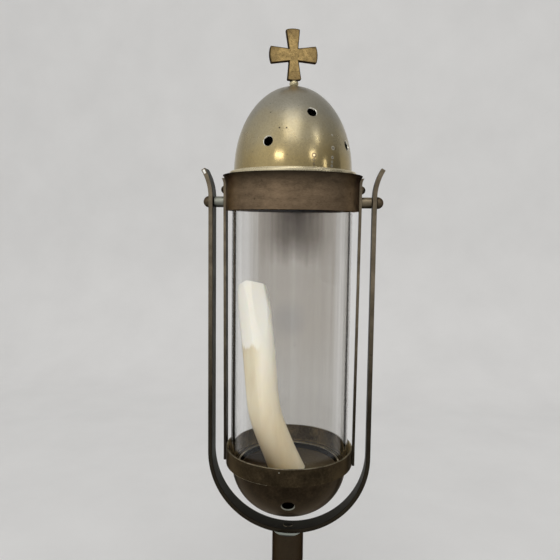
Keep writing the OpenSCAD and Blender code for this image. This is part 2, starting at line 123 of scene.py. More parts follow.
# in edit mode, with nothing but the wanted points, edges or faces selected
def selectOnly(piece, kind, wanted):
    openMesh(piece, kind)
    bpy.ops.mesh.select_all(action="DESELECT")
    closeMesh()
    parts = {"VERT": piece.data.vertices, "EDGE": piece.data.edges, "FACE": piece.data.polygons}
    for part in parts[kind]:
        part.select = wanted(part)
    bpy.ops.object.mode_set(mode="EDIT")


def weldPoints():
    bpy.ops.mesh.select_all(action="SELECT")
    bpy.ops.mesh.remove_doubles(threshold=weld)


# all faces turned outward, then back to object mode
def faceOutward():
    bpy.ops.mesh.select_all(action="SELECT")
    bpy.ops.mesh.normals_make_consistent(inside=False)
    closeMesh()


def namePiece(piece, name):
    piece.name = name
    piece.data.name = name
    return piece


# (across, up) points in the XZ plane become a closed wire outline
def drawOutline(name, points):
    letGo()
    bpy.ops.mesh.primitive_plane_add(size=mm, location=(0, 0, 0))
    piece = namePiece(bpy.context.object, name)
    openMesh(piece)
    bpy.ops.mesh.merge(type="CENTER")
    bpy.ops.transform.translate(value=(points[0][0], 0, points[0][1]))
    for here, there in zip(points, points[1:] + points[:1]):
        step = (there[0] - here[0], 0, there[1] - here[1])
        bpy.ops.mesh.extrude_vertices_move(TRANSFORM_OT_translate={"value": step})
    weldPoints()
    return piece


# an outline turned round the Z axis
def turnPiece(name, points, steps=roundSteps):
    piece = drawOutline(name, points)
    bpy.ops.mesh.spin(steps=steps, angle=2 * math.pi, center=(0, 0, 0), axis=(0, 0, 1))
    weldPoints()
    bpy.ops.mesh.delete_loose()
    faceOutward()
    return piece


# an outline cut from plate, its thickness along Y
def cutPlate(name, points, thickness):
    piece = drawOutline(name, points)
    bpy.ops.mesh.edge_face_add()
    bpy.ops.transform.translate(value=(0, -thickness / 2, 0))
    bpy.ops.mesh.extrude_region_move(TRANSFORM_OT_translate={"value": (0, thickness, 0)})
    faceOutward()
    return piece


def arcPoints(centre, radii, start, end, count):
    turns = [math.radians(start + (end - start) * i / count) for i in range(count + 1)]
    return [(centre[0] + radii[0] * math.cos(t), centre[1] + radii[1] * math.sin(t)) for t in turns]


def applyModifier(piece, kind, **settings):
    takeUp(piece)
    modifier = piece.modifiers.new(kind.lower(), kind)
    for key, value in settings.items():
        setattr(modifier, key, value)
    bpy.ops.object.modifier_apply(modifier=modifier.name)


def roundEdges(piece, width, segments=2, angle=35, **more):
    applyModifier(piece, "BEVEL", width=width, segments=segments, limit_method="ANGLE",
                  angle_limit=math.radians(angle), **more)


def polish(piece, angle=40, even=True):
    takeUp(piece)
    bpy.ops.object.shade_smooth_by_angle(angle=math.radians(angle))
    if even:
        applyModifier(piece, "WEIGHTED_NORMAL", keep_sharp=True)


def setPlace(piece, matrix):
    takeUp(piece)
    piece.matrix_world = matrix
    bpy.ops.object.transform_apply(location=True, rotation=True, scale=True)


# a piece turned round Z is laid along X, with its foot at x on that side
def layAlongX(piece, x, z, side):
    setPlace(piece, Matrix.Translation((side * x, 0, z)) @ Matrix.Rotation(side * math.pi / 2, 4, "Y"))


# a drill with a flared shoulder, its point towards -Z, the shoulder's middle at z = 0
def makeDrill(radius, depth, flare=0.0):
    wide = radius + 2 * flare
    points = [(0, -depth), (radius, -depth), (radius, -flare), (wide, flare), (wide, depth), (0, depth)]
    if not flare:
        points = [(0, -depth), (radius, -depth), (radius, depth), (0, depth)]
    return turnPiece("drill", points, smallSteps)


# a drill for a countersunk head, which widens between the shoulder and the mouth
def sinkDrill(shank, low, shoulder, head, mouth):
    end = mouth + overcut
    points = [(0, low), (shank, low), (shank, shoulder), (head, mouth), (head, end), (0, end)]
    return turnPiece("drill", points, smallSteps)


# the cut takes over the tool's finish where the tool has one
def cutAway(piece, tool):
    applyModifier(piece, "BOOLEAN", operation="DIFFERENCE", solver="EXACT", material_mode="TRANSFER",
                  object=tool)
    bpy.data.objects.remove(tool)


def drillAlongX(piece, radius, z):
    tool = makeDrill(radius, throughDrill)
    setPlace(tool, Matrix.Translation((0, 0, z)) @ Matrix.Rotation(math.pi / 2, 4, "Y"))
    cutAway(piece, tool)


# a hole with a bright edge, square to an elliptic shell, at a height from the shell's middle
def drillShell(piece, shell, up, angle, radius, flare, edgeFinish):
    across, tall, middle, pointing = shell
    r = across * math.sqrt(1 - (up / tall) ** 2)
    rise = math.atan2(up / tall ** 2, r / across ** 2)
    tool = makeDrill(radius, shellDrill, flare)
    dress(tool, edgeFinish)
    setPlace(tool, Matrix.Rotation(math.radians(angle), 4, "Z")
             @ Matrix.Translation((0, -r, middle + pointing * up))
             @ Matrix.Rotation(math.pi / 2 - pointing * rise, 4, "X"))
    cutAway(piece, tool)


def dress(piece, *finishes):
    piece.data.materials.clear()
    for finish in finishes:
        piece.data.materials.append(finish)


# each face takes the finish with the number that the rule gives
def pickFinish(piece, rule):
    for face in piece.data.polygons:
        face.material_index = int(rule(face))


def joinPieces(first, second):
    takeUp(first)
    second.select_set(True)
    bpy.ops.object.join()


def fitPiece(piece, body, slot, *nodes):
    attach(piece, body)
    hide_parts(*nodes)


# finishes

def startFinish(name):
    finish = bpy.data.materials.new(name)
    finish.use_nodes = True
    tree = finish.node_tree
    tree.nodes.clear()
    output = tree.nodes.new("ShaderNodeOutputMaterial")
    shader = tree.nodes.new("ShaderNodeBsdfPrincipled")
    tree.links.new(shader.outputs["BSDF"], output.inputs["Surface"])
    coords = tree.nodes.new("ShaderNodeTexCoord").outputs["Object"]
    return finish, tree, shader, coords


# values are set, and outputs of other nodes are linked
def give(tree, node, inputs):
    for key, value in inputs.items():
        if isinstance(value, bpy.types.NodeSocket):
            tree.links.new(value, node.inputs[key])
        else:
            node.inputs[key].default_value = value


def addNode(tree, kind, inputs, **settings):
    node = tree.nodes.new(kind)
    for key, value in settings.items():
        setattr(node, key, value)
    give(tree, node, inputs)
    return node


# the X, Y and Z of a place
def axes(tree, coords):
    return addNode(tree, "ShaderNodeSeparateXYZ", {"Vector": coords}).outputs


def stretch(tree, coords, scale):
    return addNode(tree, "ShaderNodeMapping", {"Vector": coords, "Scale": scale}).outputs[0]


def noise(tree, coords, scale, detail=3.0, rough=0.55):
    inputs = {"Vector": coords, "Scale": scale, "Detail": detail, "Roughness": rough}
    return addNode(tree, "ShaderNodeTexNoise", inputs).outputs["Fac"]


# a noise with its own number of waves per metre along each axis
def drawnNoise(tree, coords, waves, detail=3.0, rough=0.55):
    return noise(tree, stretch(tree, coords, waves), 1.0, detail, rough)


def ramp(tree, factor, places, colours):
    node = addNode(tree, "ShaderNodeValToRGB", {"Fac": factor})
    line = node.color_ramp
    while len(line.elements) < len(places):
        line.elements.new(0.5)
    for element, place, colour in zip(line.elements, places, colours):
        element.position = place
        element.color = (*colour, 1)
    return node.outputs["Color"]


def spread(tree, value, low, high, toLow=0.0, toHigh=1.0):
    inputs = {"Value": value, "From Min": low, "From Max": high, "To Min": toLow, "To Max": toHigh}
    return addNode(tree, "ShaderNodeMapRange", inputs).outputs[0]


def maths(tree, operation, first, second):
    node = addNode(tree, "ShaderNodeMath", {0: first, 1: second}, operation=operation)
    return node.outputs[0]


# inputs 6 and 7 and output 2 are the mix node's colours
def blend(tree, factor, first, second, mode="MIX"):
    first, second = (value if isinstance(value, bpy.types.NodeSocket) else (*value, 1)
                     for value in (first, second))
    inputs = {0: factor, 6: first, 7: second}
    return addNode(tree, "ShaderNodeMix", inputs, data_type="RGBA", blend_type=mode).outputs[2]


def bump(tree, height, strength, distance):
    inputs = {"Height": height, "Strength": strength, "Distance": distance}
    return addNode(tree, "ShaderNodeBump", inputs).outputs[0]


def apart(tree, coords, place):
    node = addNode(tree, "ShaderNodeVectorMath", {0: coords, 1: place}, operation="DISTANCE")
    return node.outputs["Value"]


# 1 on a small mark round a place, 0 away from it
def spot(tree, coords, place, radius):
    return spread(tree, apart(tree, coords, place), spotCore * radius, radius, 1.0, 0.0)


# an aged metal: clouded colour, fine grain, spots of tarnish, painted shade along one axis, darker ends,
# marks, some of them painted highlights
def agedMetal(name, look):
    finish, tree, shader, coords = startFinish(name)
    drawn = stretch(tree, coords, look["stretch"])
    clouds = noise(tree, drawn, look["clouds"], 4.0)
    grain = noise(tree, drawn, look["grain"], 3.0, 0.65)
    share = look["grainShare"]
    both = maths(tree, "ADD", clouds, maths(tree, "MULTIPLY", grain, share))
    mixed = maths(tree, "DIVIDE", both, 1 + share)
    colour = ramp(tree, mixed, look["steps"], look["colours"])
    specks = noise(tree, coords, look["specks"], 2.0, 0.4)
    start = look["speckFrom"]
    spotted = spread(tree, specks, start, start + look["speckEdge"], 0.0, look["speckDepth"])
    colour = blend(tree, spotted, colour, look["speckColour"])
    # painted shade: the colour darkens towards the speck colour along one axis
    if "shade" in look:
        axis, low, high, depth = look["shade"]
        away = maths(tree, "ABSOLUTE", axes(tree, coords)[axis], 0.0)
        colour = blend(tree, spread(tree, away, low, high, depth, 0.0), colour, look["speckColour"])
    if "ends" in look:
        place, low, high, depth = look["ends"]
        fade = spread(tree, apart(tree, coords, place), low, high, 0.0, depth)
        colour = blend(tree, fade, colour, look["endColour"])
    for place, radius, markColour in look.get("marks", ()):
        colour = blend(tree, spot(tree, coords, place, radius), colour, markColour)
    give(tree, shader, {
        "Base Color": colour,
        "Specular Tint": (*look["edgeTint"], 1),
        "Metallic": look["metal"],
        "Roughness": spread(tree, mixed, *noiseRange, *look["rough"]),
        "Normal": bump(tree, grain, look["bump"], look["bumpDepth"]),
    })
    return finish


def shades(colour, dark=0.72, light=1.35):
    return [tuple(share * part for part in colour) for share in (dark, 1.0, light)]


# noises in waves per metre; shade: painted shade along an axis, where it is full, where it ends and its
# depth;
# ends: the same round a place; marks: place, radius and colour
plainLook = {
    "stretch": (1, 1, 1),
    "clouds": 40.0,
    "grain": 900.0,
    "grainShare": 0.35,
    "steps": (0.3, 0.5, 0.7),
    "specks": 260.0,
    "speckFrom": 0.70,
    "speckEdge": 0.08,
    "speckDepth": 0.45,
    "speckColour": (0.012, 0.010, 0.007),
    "rough": (0.34, 0.5),
    "metal": 0.95,
    "edgeTint": (0.30, 0.25, 0.19),
    "bump": 0.12,
    "bumpDepth": 0.2 * mm,
}
brightLook = dict(plainLook, edgeTint=(1.0, 0.97, 0.9))
grainyLook = dict(plainLook, clouds=90.0, grain=520.0, grainShare=0.8, steps=(0.36, 0.5, 0.64))
boltLook = dict(plainLook, colours=shades((0.125, 0.096, 0.063), 0.6, 1.7))
# dark undersides of the pivot bolts' heads and of the spacers: painted shade
pivotLook = dict(boltLook, shade=("Z", 0.3990, 0.4035, 0.9))

metalLooks = {
    # the band darkens under its lip: painted shade where the flare faces down
    "bandPatinaAndShade": dict(grainyLook, stretch=(1, 1, 2.5), colours=shades((0.183, 0.131, 0.083), 0.72, 1.32),
                       shade=("Z", 0.4245, 0.4110, 0.90)),
    "bowlPatina": dict(grainyLook, colours=shades((0.027, 0.0187, 0.0103), 0.55, 1.6),
                       edgeTint=(0.95, 0.85, 0.74)),
    "ringPatina": dict(grainyLook, colours=shades((0.038, 0.0275, 0.0150), 0.55, 1.6),
                       edgeTint=(0.90, 0.78, 0.63),
                       marks=[((-3.5 * mm, -54 * mm, 193.1 * mm), 0.55 * mm, (0.40, 0.38, 0.33))]),
    # the ring's inside is painted much lighter than its outside: a painted reflection
    "ringInsidePaintedReflection": dict(grainyLook, colours=shades((0.40, 0.315, 0.180), 0.5, 1.6)),
    # rubbed rims, with a painted highlight on the ring's lower edge and on the yoke screw's head
    "rubbedRimAndHighlight": dict(grainyLook, colours=shades((0.27, 0.240, 0.175), 0.30, 1.9)),
    # the large dark mark on the pan floor under the leaning candle is a painted shadow
    "panPatinaAndShadow": dict(plainLook, metal=0.4, specks=520.0, speckFrom=0.64, speckDepth=0.75,
                      speckColour=(0.34, 0.31, 0.25), colours=shades((0.104, 0.080, 0.046)),
                      marks=[((-32 * mm, 0, 182 * mm), 40 * mm, (0.040, 0.026, 0.013))]),
    # a painted highlight along the pan's rim
    "panRimHighlight": dict(grainyLook, colours=shades((0.62, 0.57, 0.45), 0.35, 1.5)),
    "darkBar": dict(plainLook, colours=shades((0.022, 0.020, 0.016)), edgeTint=(0.62, 0.62, 0.60)),
    # darker towards the bow; the two near-white marks on the left tip are a painted highlight
    "rubbedBarAndHighlight": dict(plainLook, clouds=70.0, colours=shades((0.175, 0.144, 0.101), 0.6, 1.6),
                      shade=("Z", 0.23, 0.335, 0.9),
                      marks=[((-73.0 * mm, -8 * mm, 428.4 * mm), 1.3 * mm, (0.95, 0.95, 0.90)),
                             ((-72.3 * mm, -8 * mm, 427.0 * mm), 1.2 * mm, (0.95, 0.95, 0.90))]),
    "socketPatina": dict(plainLook, stretch=(1, 1, 0.5), colours=shades((0.044, 0.0325, 0.0205))),
    "boltBrass": boltLook,
    "pivotBrass": pivotLook,
    "spacerBrass": dict(pivotLook, colours=shades((0.25, 0.205, 0.140), 0.6, 1.5)),
    "spacerSteel": dict(pivotLook, colours=shades((0.36, 0.37, 0.32), 0.65, 1.4)),
    # a painted highlight: a bright strip on the socket's top under the yoke's bar, darkened away from the
    # bar
    "socketTopHighlight": dict(brightLook, metal=0.2, rough=(0.5, 0.6), shade=("Y", 12.2 * mm, 10.6 * mm, 0.93),
                        colours=shades((0.84, 0.92, 0.84), 0.85, 1.06)),
    "crossBrass": dict(brightLook, clouds=260.0, grain=1200.0, grainShare=1.0, steps=(0.38, 0.5, 0.62),
                       rough=(0.34, 0.52), colours=shades((0.435, 0.306, 0.127), 0.52, 1.45),
                       ends=((-0.9 * mm, 0, 522.1 * mm), 12 * mm, 21 * mm, 0.6),
                       endColour=(0.12, 0.082, 0.040)),
    "crossEdge": dict(plainLook, colours=shades((0.050, 0.036, 0.018), 0.6, 1.6)),
    "beadBrass": dict(brightLook, rough=(0.16, 0.3), colours=shades((0.50, 0.44, 0.28), 0.8, 1.3)),
    # lighter than the dome's brass: polished rim with a painted sheen of the light from above
    "rimBrassWithSheen": dict(brightLook, rough=(0.22, 0.34), colours=shades((0.62, 0.55, 0.375), 0.8, 1.25)),
    # bright vent edges: polished metal with a painted highlight
    "ventEdgeAndHighlight": dict(brightLook, rough=(0.24, 0.32), colours=shades((0.88, 0.86, 0.76), 0.9, 1.1)),
    "bowlVentEdgeAndHighlight": dict(brightLook, colours=shades((0.25, 0.255, 0.215), 0.7, 1.4)),
    # soot, darkened further as painted shade inside the dome and on the pan's walls
    "sootAndShadeInside": dict(plainLook, rough=(0.6, 0.75), colours=shades((0.012, 0.010, 0.008))),
}
metals = {name: agedMetal(name, look) for name, look in metalLooks.items()}


domeFinishLook = {
    # the colours from rim to crown are partly tarnish and partly a painted reflection, yellower low down
    # and grey of the ceiling near the crown
    "golden": (0.42, 0.330, 0.160),     # near the rim
    "middle": (0.385, 0.330, 0.205),
    "dulledAndGreyReflection": (0.320, 0.300, 0.240),    # near the crown
    "levels": (0.08, 0.38, 0.70),       # shares of the height where these three lie
    "uneven": 0.12,                     # how far the clouds shift them
    "clouds": 45.0,
    "grain": 700.0,
    "grainSpan": (0.4, 0.75, 0.0, 0.30),    # from and to in the noise, and the strength there
    "grainColour": (0.15, 0.12, 0.07),
    "specks": 300.0,
    "speckSpan": (0.72, 0.78, 0.0, 0.7),
    "speckColour": (0.04, 0.033, 0.02),
    "turning": ((0.02, 0.02, 1), 2600.0),   # fine lines round the dome
    "turningBump": (0.05, 0.1 * mm),
    "roughSpan": (0.12, 0.6, 0.17, 0.36),   # heights near the rim and the crown, and the roughness there
    # pits and drops: degrees from the front, mm up from the rim, mm of radius
    "pits": ((-9.6, 29.8, 0.8), (-2.5, 29.7, 0.8)),
    "pitColour": (0.05, 0.04, 0.03),
    "darkDrops": ((23.5, 9.3, 2.2), (23.3, 5.9, 1.3), (23.3, 3.0, 1.1), (23.1, 0.9, 0.9)),
    "darkRim": (0.085, 0.050, 0.035),
    "darkInside": (0.42, 0.35, 0.21),
    "paleDrops": ((45.8, 26.0, 1.0), (44.5, 15.9, 1.9), (42.9, 8.6, 1.5), (42.3, 5.2, 1.2),
                  (42.0, 2.2, 1.3)),
    "paleRim": (0.90, 0.86, 0.74),
    "paleInside": (0.26, 0.22, 0.15),
    "insideShare": 0.6,                 # of a drop's radius
}


# dried drops and pits lie on the dome's surface at an angle and a height
def domePoint(angle, up):
    low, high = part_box("dome")
    r = high.x * math.sqrt(1 - (up * mm / (high.z - low.z)) ** 2)
    return r * math.sin(math.radians(angle)), -r * math.cos(math.radians(angle)), low.z + up * mm


def domeBrass():
    look = domeFinishLook
    low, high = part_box("dome")
    finish, tree, shader, coords = startFinish("domeBrass")
    clouds = noise(tree, coords, look["clouds"], 4.0)
    height = spread(tree, axes(tree, coords)["Z"], low.z, high.z)
    level = maths(tree, "ADD", height, spread(tree, clouds, *noiseRange, -look["uneven"], look["uneven"]))
    colour = ramp(tree, level, look["levels"], (look["golden"], look["middle"], look["dulledAndGreyReflection"]))
    grain = noise(tree, coords, look["grain"], 3.0, 0.6)
    colour = blend(tree, spread(tree, grain, *look["grainSpan"]), colour, look["grainColour"])
    specks = noise(tree, coords, look["specks"], 2.0, 0.4)
    colour = blend(tree, spread(tree, specks, *look["speckSpan"]), colour, look["speckColour"])
    for angle, up, radius in look["pits"]:
        pit = spot(tree, coords, domePoint(angle, up), radius * mm)
        colour = blend(tree, pit, colour, look["pitColour"])
    for kind in ("dark", "pale"):
        for angle, up, radius in look[kind + "Drops"]:
            for part, share in (("Rim", 1.0), ("Inside", look["insideShare"])):
                drop = spot(tree, coords, domePoint(angle, up), share * radius * mm)
                colour = blend(tree, drop, colour, look[kind + part])
    lineStretch, lineScale = look["turning"]
    lines = noise(tree, stretch(tree, coords, lineStretch), lineScale, 2.0)
    give(tree, shader, {
        "Base Color": colour,
        "Metallic": 1.0,
        "Roughness": spread(tree, level, *look["roughSpan"]),
        "Normal": bump(tree, lines, *look["turningBump"]),
    })
    return finish


glassLook = {
    "clear": (0.998, 0.998, 0.995),
    "streaks": (150, 150, 2.2),
    "wander": 0.005,                    # how far the streaks shift an edge
    "hazeAndShadow": (0.570, 0.535, 0.490),      # haze and painted shadow on the back of the tube, but not at its two sides
    "hazeAndShadowLow": (0.616, 0.595, 0.563),   # thinner towards the foot
    "hazeAndShadowFall": (0.292, 0.235),
    "hazeAndShadowLeft": (-0.0475, -0.0330),     # where the haze and painted shadow begin and end, across
    "hazeAndShadowRight": (0.036, 0.051),
    "back": (-0.015, 0.015),            # and from front to back
    "patchy": (0.85, 1.15),
    "smoke": (0.300, 0.265, 0.228),     # near the band, with its half widths and heights
    "smokeHalf": (0.018, 0.038),
    "smokeRise": (0.347, 0.374),
    "soot": (0.062, 0.050, 0.040),      # a dark column over the flame's place
    "sootHalf": (0.001, 0.027),
    "sootRise": (0.350, 0.394),
    "smudge": (0.500, 0.480, 0.455),    # on the back, beside the candle
    "smudgePlace": (-6 * mm, 47 * mm, 297 * mm),
    "smudgeFade": (6 * mm, 21 * mm),
    "edge": (0.935, 0.925, 0.905),      # the right side is duller
    "edgeAcross": (43.5 * mm, 46 * mm),
    "speck": ((6.8 * mm, -50 * mm, 292.7 * mm), 0.8 * mm),
    "speckColour": (0.02, 0.02, 0.02),
    "rough": 0.015,
    "bending": 1.32,                    # index of refraction
    "shine": (0.80, 0.80, 0.81, 1),
}


def lanternGlass():
    look = glassLook
    finish, tree, shader, coords = startFinish("lanternGlass")
    parts = axes(tree, coords)
    streaks = drawnNoise(tree, coords, look["streaks"])
    wander = spread(tree, streaks, *noiseRange, -look["wander"], look["wander"])
    across = maths(tree, "ADD", parts["X"], wander)
    height = maths(tree, "ADD", parts["Z"], wander)
    # haze across the back's middle, partly a painted shadow of the lantern on the wall behind
    middle = maths(tree, "MULTIPLY", spread(tree, across, *look["hazeAndShadowLeft"]),
                   spread(tree, across, *look["hazeAndShadowRight"], 1.0, 0.0))
    middle = maths(tree, "MULTIPLY", middle, spread(tree, parts["Y"], *look["back"]))
    hazeAndShadow = maths(tree, "MULTIPLY", middle, spread(tree, streaks, *noiseRange, *look["patchy"]))
    edge = spread(tree, parts["X"], *look["edgeAcross"])
    colour = blend(tree, edge, look["clear"], look["edge"])
    falling = spread(tree, height, *look["hazeAndShadowFall"])
    filmAndShadow = blend(tree, falling, look["hazeAndShadow"], look["hazeAndShadowLow"])
    smudge = spread(tree, apart(tree, coords, look["smudgePlace"]), *look["smudgeFade"], 1.0, 0.0)
    filmAndShadow = blend(tree, smudge, filmAndShadow, look["smudge"])
    colour = blend(tree, hazeAndShadow, colour, filmAndShadow)
    aside = maths(tree, "ABSOLUTE", across, 0.0)
    for layer in ("smoke", "soot"):
        column = maths(tree, "MULTIPLY", middle, spread(tree, aside, *look[layer + "Half"], 1.0, 0.0))
        column = maths(tree, "MULTIPLY", column, spread(tree, height, *look[layer + "Rise"]))
        colour = blend(tree, column, colour, look[layer])
    colour = blend(tree, spot(tree, coords, *look["speck"]), colour, look["speckColour"])
    give(tree, shader, {
        "Base Color": colour,
        "Roughness": look["rough"],
        "IOR": look["bending"],
        "Specular Tint": look["shine"],
        "Transmission Weight": 1.0,
    })
    return finish


waxLook = {
    "shaved": (0.985, 0.945, 0.835),    # the knife-cut upper part
    "ivory": (0.80, 0.720, 0.530),
    "tan": (0.70, 0.600, 0.400),
    # painted shade on the underside of the leaning foot
    "footShade": (0.34, 0.245, 0.12),        # under the leaning foot
    "streaks": (220, 220, 22),
    "clouds": (60, 60, 14),
    "cloudSteps": (0.36, 0.60),
    "scrapes": (500, 500, 30),
    "scrapeBump": (0.25, 0.2 * mm),
    "ragged": 0.004,                    # how far the streaks shift the cuts' ends
    "halves": (-0.0290, -0.0225),       # across, between the left and the right half
    "leftEdge": (0.2812, 0.2847),       # heights where the cuts end on each half
    "rightEdge": (0.222, 0.296),
    "footShadeRise": (0.180, 0.238),
    "footShadeLean": 0.45,                   # the painted shade's right edge follows the foot
    "footShadeAcross": (0.0680, 0.0935),
    "footShadeStrength": (0.95, 0.05),
    "rough": (0.36, 0.5),
    "glow": 0.5,                        # share of the light that goes into the wax, and how deep
    "glowDepth": 6 * mm,
    "glowColour": (0.9, 0.7, 0.45),
}


def candleWax():
    look = waxLook
    finish, tree, shader, coords = startFinish("candleWax")
    parts = axes(tree, coords)
    streaks = drawnNoise(tree, coords, look["streaks"], 4.0, 0.65)
    clouds = drawnNoise(tree, coords, look["clouds"])
    body = ramp(tree, clouds, look["cloudSteps"], (look["tan"], look["ivory"]))
    ragged = spread(tree, streaks, *noiseRange, -look["ragged"], look["ragged"])
    edge = maths(tree, "ADD", parts["Z"], ragged)
    left, right = (blend(tree, spread(tree, edge, *look[side]), body, look["shaved"])
                   for side in ("leftEdge", "rightEdge"))
    colour = blend(tree, spread(tree, parts["X"], *look["halves"]), left, right)
    # painted shade where the leaning foot faces down
    leaning = maths(tree, "ADD", parts["X"], maths(tree, "MULTIPLY", parts["Z"], look["footShadeLean"]))
    under = maths(tree, "MULTIPLY", spread(tree, parts["Z"], *look["footShadeRise"], 1.0, 0.0),
                  spread(tree, leaning, *look["footShadeAcross"], *look["footShadeStrength"]))
    colour = blend(tree, under, colour, look["footShade"])
    scraped = drawnNoise(tree, coords, look["scrapes"])
    give(tree, shader, {
        "Base Color": colour,
        "Roughness": spread(tree, clouds, *noiseRange, *look["rough"]),
        "Subsurface Weight": look["glow"],
        "Subsurface Radius": look["glowColour"],
        "Subsurface Scale": look["glowDepth"],
        "Normal": bump(tree, scraped, *look["scrapeBump"]),
    })
    return finish


wickLook = {
    "strands": (2500, 2500, 500),
    "dark": (0.38, 0.29, 0.25),
    "light": (0.68, 0.58, 0.50),
    "rough": 0.9,
}


def wickCotton():
    look = wickLook
    finish, tree, shader, coords = startFinish("wickCotton")
    strands = drawnNoise(tree, coords, look["strands"], 2.0)
    colour = ramp(tree, strands, noiseRange, (look["dark"], look["light"]))
    give(tree, shader, {"Base Color": colour, "Roughness": look["rough"]})
    return finish


domeFinish = domeBrass()
glassFinish = lanternGlass()
waxFinish = candleWax()
wickFinish = wickCotton()
print("finishes mixed")


# dome, rim, bead and cross

domeSize = {
    "wall": 1.2 * mm,
    "stemHole": 2.1 * mm,
    "ventRadius": 3.8 * mm,
    "ventFlare": 0.5 * mm,
    "upperVents": (43 * mm, (26, 146, 266)),       # height over the rim, degrees from the front
    "lowerVents": (20 * mm, (-20, 70, 160, 250)),
    "arcSteps": 56,
}


def buildDome():
    size = domeSize
    low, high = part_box("dome")
    radius, tall = high.x, high.z - low.z
    inside = (radius - size["wall"], tall - size["wall"])
    stop = math.degrees(math.acos(size["stemHole"] / radius))
    innerStop = math.degrees(math.acos(size["stemHole"] / inside[0]))
    outer = arcPoints((0, low.z), (radius, tall), 0, stop, size["arcSteps"])
    inner = arcPoints((0, low.z), inside, innerStop, 0, size["arcSteps"])
    dome = turnPiece("domeShell", outer + inner, domeSteps)
    # the dome's inside takes soot and painted shade
    dress(dome, domeFinish, metals["sootAndShadeInside"])
    pickFinish(dome, lambda face: face.normal.dot(face.center - Vector((0, 0, low.z))) < 0)
    vent = (size["ventRadius"], size["ventFlare"], metals["ventEdgeAndHighlight"])
    for up, angles in (size["upperVents"], size["lowerVents"]):
        for angle in angles:
            drillShell(dome, (radius, tall, low.z, 1), up, angle, *vent)
    polish(dome, even=False)
    fitPiece(dome, "dome_cap", "dome_brass", "dome")


rimSize = {"rounding": 1.3 * mm, "fillet": 0.7 * mm, "filletSteps": 5}


def buildRim():
    size = rimSize
    low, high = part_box("dome_rim")
    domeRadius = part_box("dome")[1].x
    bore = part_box("dome_spigot")[1].x - domeSize["wall"]
    inWall = domeRadius - domeSize["wall"] / 2
    edge, fillet = size["rounding"], size["fillet"]
    outline = [(bore, low.z)]
    outline += arcPoints((high.x - edge, low.z + edge), (edge, edge), -90, 0, cornerSteps)
    outline += arcPoints((high.x - edge, high.z - edge), (edge, edge), 0, 90, cornerSteps)
    outline += arcPoints((domeRadius + fillet, high.z + fillet), (fillet, fillet), 270, 180,
                         size["filletSteps"])
    outline += [(inWall, high.z + fillet), (inWall, high.z), (bore, high.z)]
    rim = turnPiece("domeRim", outline, domeSteps)
    polish(rim, angle=50)
    dress(rim, metals["rimBrassWithSheen"])
    fitPiece(rim, "dome_cap", "dome_brass", "dome_rim")


crossSize = {
    "height": 41.2 * mm,
    "width": 39.8 * mm,
    "thick": 4.5 * mm,
    "uprightRoot": 8.0 * mm,
    "uprightEnd": 11.6 * mm,
    "barRoot": 10.2 * mm,
    "barEnd": 13.6 * mm,
    "lean": 2.4,            # degrees, its top towards -X
    "turn": 15,             # degrees about the stem
    "stem": 2 * mm,
    "stemInto": 1 * mm,     # the stem's length inside the cross
    "edge": 0.75 * mm,
}


# one arm's end as an arc round the crossing
def armEnd(reach, endWidth, turn):
    half = math.degrees(math.asin(endWidth / 2 / reach))
    return arcPoints((0, 0), (reach, reach), turn - half, turn + half, cornerSteps)


def buildCross():
    size = crossSize
    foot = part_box("cross_bead")[1].z
    tall, wide = size["height"] / 2, size["width"] / 2
    inX, inZ = size["uprightRoot"] / 2, size["barRoot"] / 2
    outline = armEnd(wide, size["barEnd"], 0) + [(inX, inZ)]
    outline += armEnd(tall, size["uprightEnd"], 90) + [(-inX, inZ)]
    outline += armEnd(wide, size["barEnd"], 180) + [(-inX, -inZ)]
    outline += armEnd(tall, size["uprightEnd"], 270) + [(inX, -inZ)]
    cross = cutPlate("cross", outline, size["thick"])
    dress(cross, metals["crossBrass"], metals["crossEdge"])
    pickFinish(cross, lambda face: abs(face.normal.y) <= flatFacing)
    roundEdges(cross, size["edge"], segments=3, angle=30, material=1)
    polish(cross)
    setPlace(cross, Matrix.Translation((0, 0, foot)) @ Matrix.Rotation(math.radians(size["turn"]), 4, "Z")
             @ Matrix.Rotation(math.radians(-size["lean"]), 4, "Y") @ Matrix.Translation((0, 0, tall)))
    radius, start, end = size["stem"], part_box("cross")[0].z, foot + size["stemInto"]
    stem = turnPiece("stem", [(0, start), (radius, start), (radius, end), (0, end)], smallSteps)
    dress(stem, metals["crossBrass"], metals["crossEdge"])
    joinPieces(cross, stem)
    fitPiece(cross, "dome_cap", "cross_brass", "cross")


beadSize = {"neck": 2.3 * mm, "edge": 0.2 * mm, "arcSteps": 14}


def buildBead():
    size = beadSize
    low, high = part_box("cross_bead")
    middle = (low.z + high.z) / 2
    radius, half = high.x, (high.z - low.z) / 2
    tilt = math.degrees(math.asin(half / radius))
    outline = arcPoints((0, middle), (radius, radius), -tilt, tilt, size["arcSteps"])
    outline += [(size["neck"], high.z), (size["neck"], low.z)]
    bead = turnPiece("crossBead", outline, smallSteps)
    roundEdges(bead, size["edge"])
    polish(bead)
    dress(bead, metals["beadBrass"])
    fitPiece(bead, "dome_cap", "cross_brass", "cross_bead")


buildDome()
buildRim()
buildCross()
buildBead()
print("dome and cross made")


# frame of the lantern: band, straps, ring, bowl, pan

bandSize = {"wall": 1.5 * mm, "flare": 2.8 * mm, "lipHeight": 7 * mm, "lipSteps": 12, "edge": 0.3 * mm}


def lipStep(z):
    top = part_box("top_band")[1].z
    above = max(0.0, z - top + bandSize["lipHeight"])
    return bandSize["flare"] * (above / bandSize["lipHeight"]) ** 2


def lipLevels(count):
    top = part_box("top_band")[1].z
    return [top - bandSize["lipHeight"] * (1 - i / count) for i in range(count + 1)]


